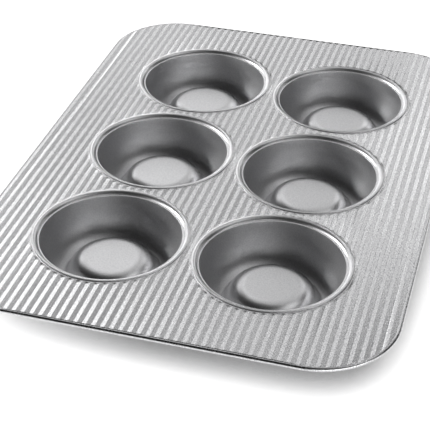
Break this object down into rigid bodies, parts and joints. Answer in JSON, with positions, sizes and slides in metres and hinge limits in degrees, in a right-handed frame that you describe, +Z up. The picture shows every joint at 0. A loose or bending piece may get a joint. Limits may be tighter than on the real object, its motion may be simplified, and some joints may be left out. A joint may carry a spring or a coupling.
{
  "type": "brownie bowl pan",
  "caption": "Flat fluted metal baking pan with round drawn cups, each with a raised centre plug that forms a hollow in the brownie, and a wired rolled edge.",
  "frame": {"origin": "centre of the pan in plan, at the level of the cup undersides that it stands on", "axes": "+X across the pan, over its short side; +Y along the pan, from its near short edge to its far one; +Z up, out of the cup mouths"},
  "size_m": [0.2836, 0.3978, 0.032],
  "materials": {
    "coated_sheet": "satin",
    "coated_cup": "satin",
    "plain_wire": "satin"
  },
  "bodies": {
    "root": {"frame_sheet": "coated_sheet", "rim_wire": "plain_wire", "cup_near_left": "coated_cup", "cup_near_right": "coated_cup", "cup_middle_left": "coated_cup", "cup_middle_right": "coated_cup", "cup_far_left": "coated_cup", "cup_far_right": "coated_cup"}
  },
  "joints": []
}
